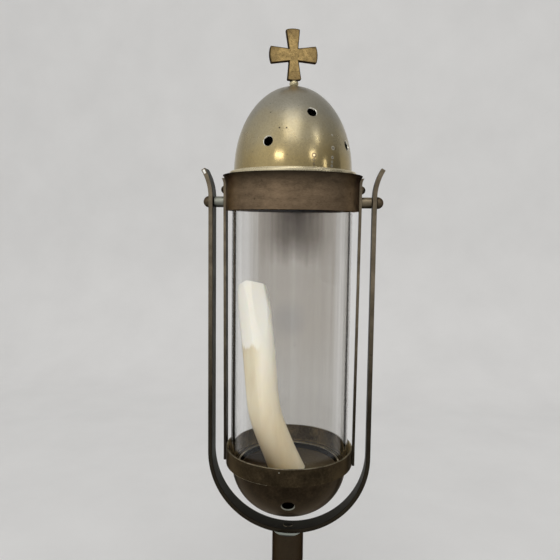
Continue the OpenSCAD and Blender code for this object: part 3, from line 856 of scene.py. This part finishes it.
def buildBand():
    size = bandSize
    low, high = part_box("top_band")
    outside = high.x - size["flare"]
    inside = outside - size["wall"]
    levels = lipLevels(size["lipSteps"])
    outline = [(inside, low.z), (outside, low.z)]
    outline += [(outside + lipStep(z), z) for z in levels]
    outline += [(inside + lipStep(z), z) for z in reversed(levels)]
    band = turnPiece("topBand", outline)
    roundEdges(band, size["edge"])
    drillAlongX(band, boltHole, pivotZ)
    polish(band)
    dress(band, metals["bandPatinaAndShade"])
    fitPiece(band, "lantern_body", "frame_patina", "top_band")


rivetSize = {
    "headRadius": 3.4 * mm,
    "headHeight": 2.8 * mm,
    "shank": 2 * mm,
    "clear": 1.1 * mm,        # from the shank's end to the glass
    "edge": 0.2 * mm,
}
strapSize = {
    "thick": 2.2 * mm,
    "lipSteps": 10,
    "edge": 0.35 * mm,
    "sinkRadius": 3.3 * mm,
    "sinkDepth": 1.2 * mm,
}


# flat bars are dark on their broad sides and rubbed on their narrow ones
def dressBar(bar):
    dress(bar, metals["darkBar"], metals["rubbedBarAndHighlight"])
    pickFinish(bar, lambda face: abs(face.normal.y) > barSide)


# the seat of the flush rivet, in a strap that still lies on the right
def sinkRivet(strap):
    low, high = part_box("lower_rivets")
    depth = strapSize["sinkDepth"]
    tool = sinkDrill(rivetSize["shank"], -shellDrill, 0, strapSize["sinkRadius"], depth)
    layAlongX(tool, high.x - depth, (low.z + high.z) / 2, 1)
    cutAway(strap, tool)


def buildStrap(name, node, side):
    size = strapSize
    low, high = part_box("right_strap")
    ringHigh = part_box("gallery_ring")[1]
    bandLow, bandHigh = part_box("top_band")
    bandOut = bandHigh.x - bandSize["flare"]
    levels = [z for z in lipLevels(size["lipSteps"]) if z <= high.z + weld] + [high.z]
    inner = [(ringHigh.x, low.z), (ringHigh.x, ringHigh.z), (bandOut, bandLow.z)]
    inner += [(bandOut + lipStep(z), z) for z in levels]
    outer = [(x + size["thick"], z) for x, z in reversed(inner)]
    strap = cutPlate(name, inner + outer, high.y - low.y)
    drillAlongX(strap, boltHole, pivotZ)
    sinkRivet(strap)
    roundEdges(strap, size["edge"])
    if side < 0:
        setPlace(strap, Matrix.Rotation(math.pi, 4, "Z"))
    polish(strap)
    dressBar(strap)
    fitPiece(strap, "lantern_body", "frame_patina", node)


ringSize = {
    "wall": 1.5 * mm,
    "ledge": 1.2 * mm,
    "ledgeWidth": 4 * mm,         # under the glass
    "edge": 0.3 * mm,
    "lowerHighlightTo": -12 * mm,         # left of this the lower edge carries a painted highlight
    "lowerHighlightSlope": (0.2, 0.95),
}


def buildRing():
    size = ringSize
    low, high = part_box("gallery_ring")
    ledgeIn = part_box("glass_cylinder")[1].x - size["ledgeWidth"]
    inside = high.x - size["wall"]
    outline = [(ledgeIn, low.z), (high.x, low.z), (high.x, high.z), (inside, high.z),
               (inside, low.z + size["ledge"]), (ledgeIn, low.z + size["ledge"])]
    ring = turnPiece("galleryRing", outline)
    dress(ring, metals["ringPatina"], metals["rubbedRimAndHighlight"], metals["ringInsidePaintedReflection"])
    roundEdges(ring, size["edge"])
    flat, steep = size["lowerHighlightSlope"]

    # finish 1: the rubbed top rim, and a painted highlight on the left of the lower edge; finish 2: the
    # inside, a painted reflection
    def ringFace(face):
        outwards = (face.normal.x * face.center.x + face.normal.y * face.center.y) / high.x
        lowerEdge = face.center.z < low.z + size["edge"] and flat < outwards < steep
        if face.center.z > high.z - size["edge"] or lowerEdge and face.center.x < size["lowerHighlightTo"]:
            return 1
        return 2 if outwards < -halfFacing else 0

    pickFinish(ring, ringFace)
    polish(ring)
    fitPiece(ring, "lantern_body", "frame_patina", "gallery_ring")


bowlSize = {
    "wall": 1.2 * mm,
    "foot": 6 * mm,
    "screwHole": 2.6 * mm,
    "ventRadius": 5 * mm,
    "ventFlare": 0.3 * mm,
    "ventDrop": 20 * mm,
    "ventAngles": (4, 124, 244),
    "arcSteps": 44,
}


def buildBowl():
    size = bowlSize
    low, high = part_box("bowl")
    radius, deep = high.x, high.z - low.z
    foot, wall = size["foot"], size["wall"]
    outer = arcPoints((foot, high.z), (radius - foot, deep), 0, -90, size["arcSteps"])
    inner = arcPoints((foot, high.z), (radius - foot - wall, deep - wall), -90, 0, size["arcSteps"])
    outline = outer + [(size["screwHole"], low.z), (size["screwHole"], low.z + wall)] + inner
    bowl = turnPiece("bowl", outline)
    dress(bowl, metals["bowlPatina"])
    vent = (size["ventRadius"], size["ventFlare"], metals["bowlVentEdgeAndHighlight"])
    for angle in size["ventAngles"]:
        drillShell(bowl, (radius, deep, high.z, -1), size["ventDrop"], angle, *vent)
    polish(bowl, even=False)
    fitPiece(bowl, "lantern_body", "frame_patina", "bowl")


panSize = {"wall": 1 * mm, "lip": 1.8 * mm, "screwHole": 2.6 * mm, "edge": 0.3 * mm, "corner": 2 * mm}


def buildPan():
    size = panSize
    low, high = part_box("drip_pan")
    radius, wall = high.x, size["wall"]
    corner = size["corner"]
    inner, lip = corner - wall, radius - size["lip"]
    outline = [(size["screwHole"], low.z)]
    outline += arcPoints((radius - corner, low.z + corner), (corner, corner), -90, 0, cornerSteps)
    outline += [(radius, high.z), (lip, high.z), (lip, high.z - wall), (radius - wall, high.z - wall)]
    outline += arcPoints((radius - corner, low.z + corner), (inner, inner), 0, -90, cornerSteps)
    outline += [(size["screwHole"], low.z + wall)]
    pan = turnPiece("dripPan", outline)
    roundEdges(pan, size["edge"])
    polish(pan)
    dress(pan, metals["panPatinaAndShadow"], metals["panRimHighlight"], metals["sootAndShadeInside"])

    # finish 1 paints a highlight on the rim; finish 2 is soot and painted shade on the walls
    def panFace(face):
        if face.center.z > high.z - size["edge"]:
            return 1
        return 2 if abs(face.normal.z) < halfFacing else 0

    pickFinish(pan, panFace)
    fitPiece(pan, "lantern_body", "frame_patina", "drip_pan")


buildBand()
buildStrap("leftStrap", "left_strap", -1)
buildStrap("rightStrap", "right_strap", 1)
buildRing()
buildBowl()
buildPan()
print("lantern frame made")


# pivots and rivets

pivotSize = {
    "headRadius": 4.8 * mm,
    "headHeight": 5.3 * mm,
    "shank": 2.5 * mm,
    "edge": 0.25 * mm,
    "spacerEdge": 0.35 * mm,
}
headSteps = 14       # steps from a domed head's foot to its top


# a domed head on a shank, standing along Z with the head's foot at z = 0
def domedOutline(headRadius, headHeight, shank, shankLength):
    ball = (headRadius ** 2 + headHeight ** 2) / (2 * headHeight)
    start = math.degrees(math.asin((headHeight - ball) / -ball))
    dome = arcPoints((0, headHeight - ball), (ball, ball), start, 90, headSteps)
    return [(0, -shankLength), (shank, -shankLength), (shank, 0)] + dome


def buildPivot(side, names, spacerFinish):
    size = pivotSize
    boltName, spacerName, boltNode, spacerNode, spacerSlot = names
    low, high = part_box("right_pivot_bolt")
    headFoot = high.x - size["headHeight"]
    outline = domedOutline(size["headRadius"], size["headHeight"], size["shank"], headFoot - low.x)
    bolt = turnPiece(boltName, outline, smallSteps)
    roundEdges(bolt, size["edge"], angle=50)
    polish(bolt)
    layAlongX(bolt, headFoot, pivotZ, side)
    dress(bolt, metals["pivotBrass"])
    fitPiece(bolt, "lantern_body", "fittings_brass", boltNode)

    low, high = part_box("right_spacer")
    radius, length = high.y, high.x - low.x
    outline = [(boltHole, 0), (radius, 0), (radius, length), (boltHole, length)]
    spacer = turnPiece(spacerName, outline, smallSteps)
    roundEdges(spacer, size["spacerEdge"])
    polish(spacer)
    layAlongX(spacer, low.x, pivotZ, side)
    dress(spacer, spacerFinish)
    fitPiece(spacer, "lantern_body", spacerSlot, spacerNode)


def buildRivets():
    size = rivetSize
    low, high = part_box("upper_rivets")
    headFoot = high.x - size["headHeight"]
    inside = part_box("glass_cylinder")[1].x + size["clear"]
    outline = domedOutline(size["headRadius"], size["headHeight"], size["shank"], headFoot - inside)
    rivets = []
    for side in (1, -1):
        rivet = turnPiece("rivet", outline, smallSteps)
        roundEdges(rivet, size["edge"], angle=50)
        polish(rivet)
        layAlongX(rivet, headFoot, (low.z + high.z) / 2, side)
        rivets.append(rivet)
    joinPieces(*rivets)
    pair = namePiece(rivets[0], "upperRivets")
    dress(pair, metals["boltBrass"])
    fitPiece(pair, "lantern_body", "fittings_brass", "upper_rivets")


buildPivot(-1, ("leftPivotBolt", "leftSpacer", "left_pivot_bolt", "left_spacer", "spacer_steel"),
           metals["spacerSteel"])
buildPivot(1, ("rightPivotBolt", "rightSpacer", "right_pivot_bolt", "right_spacer", "fittings_brass"),
           metals["spacerBrass"])
buildRivets()
print("pivots and rivets made")


# yoke, screw and socket

yokeSize = {
    "thick": 3.6 * mm,
    "endPlay": 0.3 * mm,       # between spacer and arm
    "tipRise": 3.6 * mm,       # straight bar above the pivot
    "tipRadius": 43 * mm,
    "tipAngle": 31,
    "bowSteps": 72,
    "tipSteps": 16,
    "edge": 0.4 * mm,
    "pivotHole": 2.58 * mm,
    "screwHole": 2.6 * mm,
    "screwSink": 4.3 * mm,
    "sinkDepth": 2 * mm,
}


# radii of the bow, inside and outside
def yokeRadii():
    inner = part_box("right_spacer")[1].x + yokeSize["endPlay"]
    return inner, inner + yokeSize["thick"]


def buildYoke():
    size = yokeSize
    low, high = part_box("yoke")
    inner, outer = yokeRadii()
    bowZ, armTop = low.z + outer, pivotZ + size["tipRise"]
    letGo()
    bpy.ops.mesh.primitive_plane_add(size=1, location=(0, 0, 0))
    yoke = namePiece(bpy.context.object, "yoke")
    bpy.ops.object.mode_set(mode="EDIT")
    bpy.ops.transform.resize(value=(size["thick"], high.y - low.y, 1))
    bpy.ops.transform.translate(value=(-(inner + outer) / 2, 0, bowZ))
    bpy.ops.mesh.spin(steps=size["bowSteps"], angle=math.pi, center=(0, 0, bowZ), axis=(0, 1, 0))
    for side in (1, -1):
        selectOnly(yoke, "FACE", lambda face: abs(face.normal.z) > flatFacing
                   and face.center.x * side > inner and abs(face.center.z - bowZ) < weld)
        bpy.ops.mesh.extrude_region_move(TRANSFORM_OT_translate={"value": (0, 0, armTop - bowZ)})
        bpy.ops.mesh.spin(steps=size["tipSteps"], angle=math.radians(size["tipAngle"]),
                          center=(side * (outer + size["tipRadius"]), 0, armTop), axis=(0, -side, 0))
    weldPoints()
    faceOutward()
    roundEdges(yoke, size["edge"], segments=3, angle=50)
    drillAlongX(yoke, size["pivotHole"], pivotZ)
    floor = low.z + size["thick"]
    cutAway(yoke, sinkDrill(size["screwHole"], low.z - overcut, floor - size["sinkDepth"],
                            size["screwSink"], floor))
    polish(yoke)
    dressBar(yoke)
    fitPiece(yoke, "yoke_frame", "yoke_patina", "yoke")


screwSize = {
    "shank": 2.5 * mm,
    "head": 4.2 * mm,
    "headHeight": 2 * mm,
    "proud": 0.45 * mm,       # the head's crown stands over the bar
    "slot": 1.05 * mm,
}


def buildYokeScrew():
    size = screwSize
    low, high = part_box("yoke_screw")
    shank, head, top = size["shank"], size["head"], high.z + size["proud"]
    outline = [(0, low.z), (shank, low.z), (shank, high.z - size["headHeight"]), (head, high.z),
               (head - size["proud"], top), (0, top)]
    screw = turnPiece("yokeScrew", outline, smallSteps)
    dress(screw, metals["darkBar"], metals["rubbedRimAndHighlight"])
    # the head's rounded edge takes the rubbed finish with its painted highlight
    pickFinish(screw, lambda face: face.center.z > high.z and face.normal.z < flatFacing)
    letGo()
    bpy.ops.mesh.primitive_cube_add(size=1, location=(0, 0, top),
                                    scale=(3 * head, size["slot"], size["slot"]))
    slot = bpy.context.object
    bpy.ops.object.transform_apply(location=True, rotation=True, scale=True)
    dress(slot, metals["darkBar"])
    cutAway(screw, slot)
    polish(screw)
    fitPiece(screw, "yoke_frame", "fittings_brass", "yoke_screw")


socketSize = {
    "wall": 1.5 * mm,
    "crown": 12 * mm,
    "edge": 0.35 * mm,
    "sides": 96,
    "spare": 4 * mm,          # taken off by the cutter, which has the bow's roundness
    "cutterSides": 256,
    "cutterLength": 0.1,
}


def buildSocket():
    size = socketSize
    low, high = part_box("pole_socket")
    radius, bore = high.x, high.x - size["wall"]
    outer = yokeRadii()[1]
    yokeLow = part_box("yoke")[0].z
    roof, top = yokeLow - size["crown"], high.z + size["spare"]
    outline = [(bore, low.z), (radius, low.z), (radius, top), (0, top), (0, roof), (bore, roof)]
    socket = turnPiece("poleSocket", outline, size["sides"])
    letGo()
    bpy.ops.mesh.primitive_cylinder_add(vertices=size["cutterSides"], radius=outer,
                                        depth=size["cutterLength"], location=(0, 0, yokeLow + outer),
                                        rotation=(math.pi / 2, 0, 0))
    cutAway(socket, bpy.context.object)
    dress(socket, metals["socketPatina"], metals["socketTopHighlight"])
    roundEdges(socket, size["edge"], angle=40)
    # the socket's top takes the painted highlight
    pickFinish(socket, lambda face: face.normal.z > halfFacing and face.center.z > yokeLow - mm)
    polish(socket)
    fitPiece(socket, "yoke_frame", "yoke_patina", "pole_socket")


buildYoke()
buildYokeScrew()
buildSocket()
print("yoke and socket made")


# glass and candle

glassSize = {"wall": 3 * mm, "round": 1.2 * mm, "sides": 192}


def buildGlass():
    size = glassSize
    low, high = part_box("glass_cylinder")
    inside = high.x - size["wall"]
    outline = [(inside, low.z), (high.x, low.z), (high.x, high.z), (inside, high.z)]
    glass = turnPiece("glassCylinder", outline, size["sides"])
    roundEdges(glass, size["round"], segments=4)
    polish(glass)
    dress(glass, glassFinish)
    glass.visible_shadow = False
    fitPiece(glass, "lantern_body", "clear_glass", "glass_cylinder")


candleSize = {
    "radius": 14 * mm,
    "reach": 32.5 * mm,       # how far the wax may lean before it meets the glass
    "route": ((0.01, -0.05), (-1.03, 0.44), (-0.50, 0.17), (-1.05, 1)),     # shares of reach and height
    "routeSteps": 64,
    "topDrop": 1.6 * mm,
    "rings": 90,
    "sides": 72,
    "over": 4 * mm,           # spare length that the cuts take off
    "melt": 1.6 * mm,         # radius lost towards the top
    "meltLength": 24 * mm,
    "sag": 1.2 * mm,          # radius gained towards the foot
    "sagLength": 26 * mm,
    "swell": 1.5,             # power by which both set in
    "edge": 0.5 * mm,
}

# knife cuts at the candle's head: distance from its top's middle, and the way each cut faces
candleCuts = (
    ((-2 * mm, 0, 1.4 * mm), (0.13, 0.25, 1)),
    ((-2 * mm, 0, 1.4 * mm), (-0.43, 0.23, 0.9)),
    ((12.2 * mm, 0, 0), (0.97, -0.06, 0.23)),
    ((6.4 * mm, -9.7 * mm, 0), (0.55, -0.83, 0.13)),
    ((-6.8 * mm, -10.3 * mm, 0), (-0.55, -0.83, -0.06)),
)


# the wax's radius along the candle, as a share of the full radius
def waxShare(along, length):
    size = candleSize
    melted = max(0.0, along - length + size["meltLength"]) / size["meltLength"]
    sagged = max(0.0, size["sagLength"] - along) / size["sagLength"]
    change = size["sag"] * sagged ** size["swell"] - size["melt"] * melted ** size["swell"]
    return 1 + change / size["radius"]


# the candle's line as a curve object: two ends, and a handle to each
def candleLine(low, tall):
    size = candleSize
    places = [Vector((x * size["reach"], 0, low + z * tall)) for x, z in size["route"]]
    letGo()
    bpy.ops.curve.primitive_bezier_curve_add(location=(0, 0, 0))
    line = bpy.context.object
    start, end = line.data.splines[0].bezier_points
    for knot in (start, end):
        knot.handle_left_type = knot.handle_right_type = "FREE"
    start.co, start.handle_right = places[0], places[1]
    start.handle_left = 2 * places[0] - places[1]
    end.co, end.handle_left = places[3], places[2]
    end.handle_right = 2 * places[3] - places[2]
    line.data.resolution_u = size["routeSteps"]
    return line


def buildCandle():
    size = candleSize
    low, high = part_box("candle")
    line = candleLine(low.z, high.z - low.z)
    length = line.data.splines[0].calc_length()
    whole = length + size["over"]
    letGo()
    bpy.ops.mesh.primitive_cylinder_add(vertices=size["sides"], radius=size["radius"], depth=whole,
                                        location=(0, 0, 0))
    candle = namePiece(bpy.context.object, "candle")
    openMesh(candle, "EDGE")
    bpy.ops.transform.translate(value=(0, 0, whole / 2))

    def upright(edge):
        a, b = (candle.data.vertices[i].co for i in edge.vertices)
        return abs(a.z - b.z) > length / 2

    selectOnly(candle, "EDGE", upright)
    bpy.ops.mesh.subdivide(number_cuts=size["rings"])
    gap = whole / (size["rings"] + 1)
    for level in range(size["rings"] + 2):
        share = waxShare(level * gap, length)
        if share != 1:
            selectOnly(candle, "VERT", lambda point: abs(point.co.z - level * gap) < gap / 4)
            bpy.ops.transform.resize(value=(share, share, 1))
    closeMesh()
    applyModifier(candle, "CURVE", object=line, deform_axis="POS_Z")
    bpy.data.objects.remove(line)
    openMesh(candle)
    bpy.ops.mesh.select_all(action="SELECT")
    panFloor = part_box("drip_pan")[0].z + panSize["wall"]
    bpy.ops.mesh.bisect(plane_co=(0, 0, panFloor), plane_no=(0, 0, 1), use_fill=True, clear_inner=True)
    top = Vector((size["route"][-1][0] * size["reach"], 0, high.z - size["topDrop"]))
    for offset, facing in candleCuts:
        bpy.ops.mesh.select_all(action="SELECT")
        bpy.ops.mesh.bisect(plane_co=top + Vector(offset), plane_no=facing, use_fill=True, clear_outer=True)
    closeMesh()
    roundEdges(candle, size["edge"], angle=22)
    polish(candle, angle=30)
    dress(candle, waxFinish)
    fitPiece(candle, "lantern_body", "candle_wax", "candle")


buildGlass()
buildCandle()
print("glass and candle made")


# pieces that keep their solids get a finish

keptSolids = (
    (metals["bandPatinaAndShade"], ("seat_ring", "dome_spigot")),
    (metals["boltBrass"], ("lower_rivets", "left_pivot_nut", "right_pivot_nut", "bowl_screw", "pan_post",
                           "pricket", "cross_nut")),
    (wickFinish, ("wick",)),
)
for finish, nodes in keptSolids:
    for node in nodes:
        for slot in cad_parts[node].material_slots:
            slot.material = finish
print("other pieces finished")


# stage

stageLook = {
    "halfWidth": 3.5,
    "front": -2.5,
    "back": 0.75,
    "cove": 0.35,
    "coveSteps": 24,
    "height": 1.2,
    "mottle": 9.0,
    "shade": (0.775, 0.776, 0.775),
    "light": (0.815, 0.816, 0.815),
    "rough": 0.9,
}


def paperFinish():
    look = stageLook
    finish, tree, shader, coords = startFinish("palePaper")
    mottle = noise(tree, coords, look["mottle"], 4.0)
    give(tree, shader, {
        "Base Color": ramp(tree, mottle, noiseRange, (look["shade"], look["light"])),
        "Roughness": look["rough"],
    })
    return finish


def buildStage():
    look = stageLook
    letGo()
    bpy.ops.mesh.primitive_plane_add(size=1, location=(0, 0, 0))
    paper = namePiece(bpy.context.object, "floorPaper")
    openMesh(paper, "EDGE")
    bpy.ops.mesh.select_all(action="SELECT")
    bpy.ops.transform.resize(value=(2 * look["halfWidth"], look["back"] - look["front"], 1))
    bpy.ops.transform.translate(value=(0, (look["back"] + look["front"]) / 2, 0))
    selectOnly(paper, "EDGE", lambda edge: all(paper.data.vertices[i].co.y > look["back"] - weld
                                               for i in edge.vertices))
    bpy.ops.mesh.spin(steps=look["coveSteps"], angle=math.pi / 2, center=(0, look["back"], look["cove"]),
                      axis=(-1, 0, 0))
    bpy.ops.mesh.extrude_region_move(TRANSFORM_OT_translate={"value": (0, 0, look["height"])})
    weldPoints()
    closeMesh()
    polish(paper, angle=60, even=False)
    dress(paper, paperFinish())


# name: azimuth from the front, elevation, distance, width, height, watts, colour
lamps = {
    "ceilingLamp": (1, 51, 1.5, 0.70, 0.90, 3.2, (1.0, 0.98, 0.95)),
    "leftWindow": (-22, 17, 1.6, 0.44, 0.15, 1.1, (1.0, 0.97, 0.92)),
    "rightWindow": (42, 18, 1.6, 0.28, 0.16, 0.6, (1.0, 0.98, 0.95)),
    "sideDoor": (67, 9, 1.6, 0.10, 0.20, 0.25, (1.0, 0.98, 0.95)),
    "highPane": (56, 35, 1.6, 0.07, 0.32, 0.7, (1.0, 0.98, 0.95)),
}
lampsAim = (0, 0, 0.42)


def buildLamps():
    middle = Vector(lampsAim)
    for name, (azimuth, elevation, distance, wide, tall, watts, colour) in lamps.items():
        around, up = math.radians(azimuth), math.radians(elevation)
        away = Vector((math.sin(around) * math.cos(up), -math.cos(around) * math.cos(up), math.sin(up)))
        letGo()
        bpy.ops.object.light_add(type="AREA", location=middle + distance * away)
        lamp = bpy.context.object
        lamp.name = name
        lamp.rotation_euler = away.to_track_quat("Z", "Y").to_euler()
        lamp.data.shape = "RECTANGLE"
        lamp.data.size, lamp.data.size_y = wide, tall
        lamp.data.energy = watts
        lamp.data.color = colour


# the room's light from back to front, from left to right, and what comes from above
skyLook = {
    "front": ((0.30, 0.5, 0.75, 1.0),
              ((0.36, 0.356, 0.35), (0.38, 0.375, 0.37), (0.56, 0.555, 0.545), (0.64, 0.63, 0.62))),
    "aside": ((0.0, 0.5, 1.0), ((1.18, 1.18, 1.18), (0.80, 0.80, 0.80), (0.38, 0.38, 0.38))),
    "above": ((0.10, 0.45, 1.0), ((0.0, 0.0, 0.0), (0.15, 0.148, 0.145), (0.25, 0.248, 0.245))),
    "strength": 1.25,
}


# an evenly lit room, brightest behind the camera and brighter on the left than on the right
def buildSky():
    look = skyLook
    world = bpy.data.worlds.new("softRoom")
    bpy.context.scene.world = world
    world.use_nodes = True
    tree = world.node_tree
    tree.nodes.clear()
    output = tree.nodes.new("ShaderNodeOutputWorld")
    shader = tree.nodes.new("ShaderNodeBackground")
    tree.links.new(shader.outputs[0], output.inputs["Surface"])
    parts = axes(tree, tree.nodes.new("ShaderNodeTexCoord").outputs["Generated"])
    front = ramp(tree, spread(tree, parts["Y"], 1.0, -1.0), *look["front"])
    aside = ramp(tree, spread(tree, parts["X"], -1.0, 1.0), *look["aside"])
    above = ramp(tree, parts["Z"], *look["above"])
    around = blend(tree, 1.0, front, aside, "MULTIPLY")
    light = blend(tree, 1.0, around, above, "ADD")
    give(tree, shader, {"Color": light, "Strength": look["strength"]})


buildStage()
buildLamps()
buildSky()
bpy.context.scene.view_settings.view_transform = "Standard"
print("stage and lamps set")

letGo()
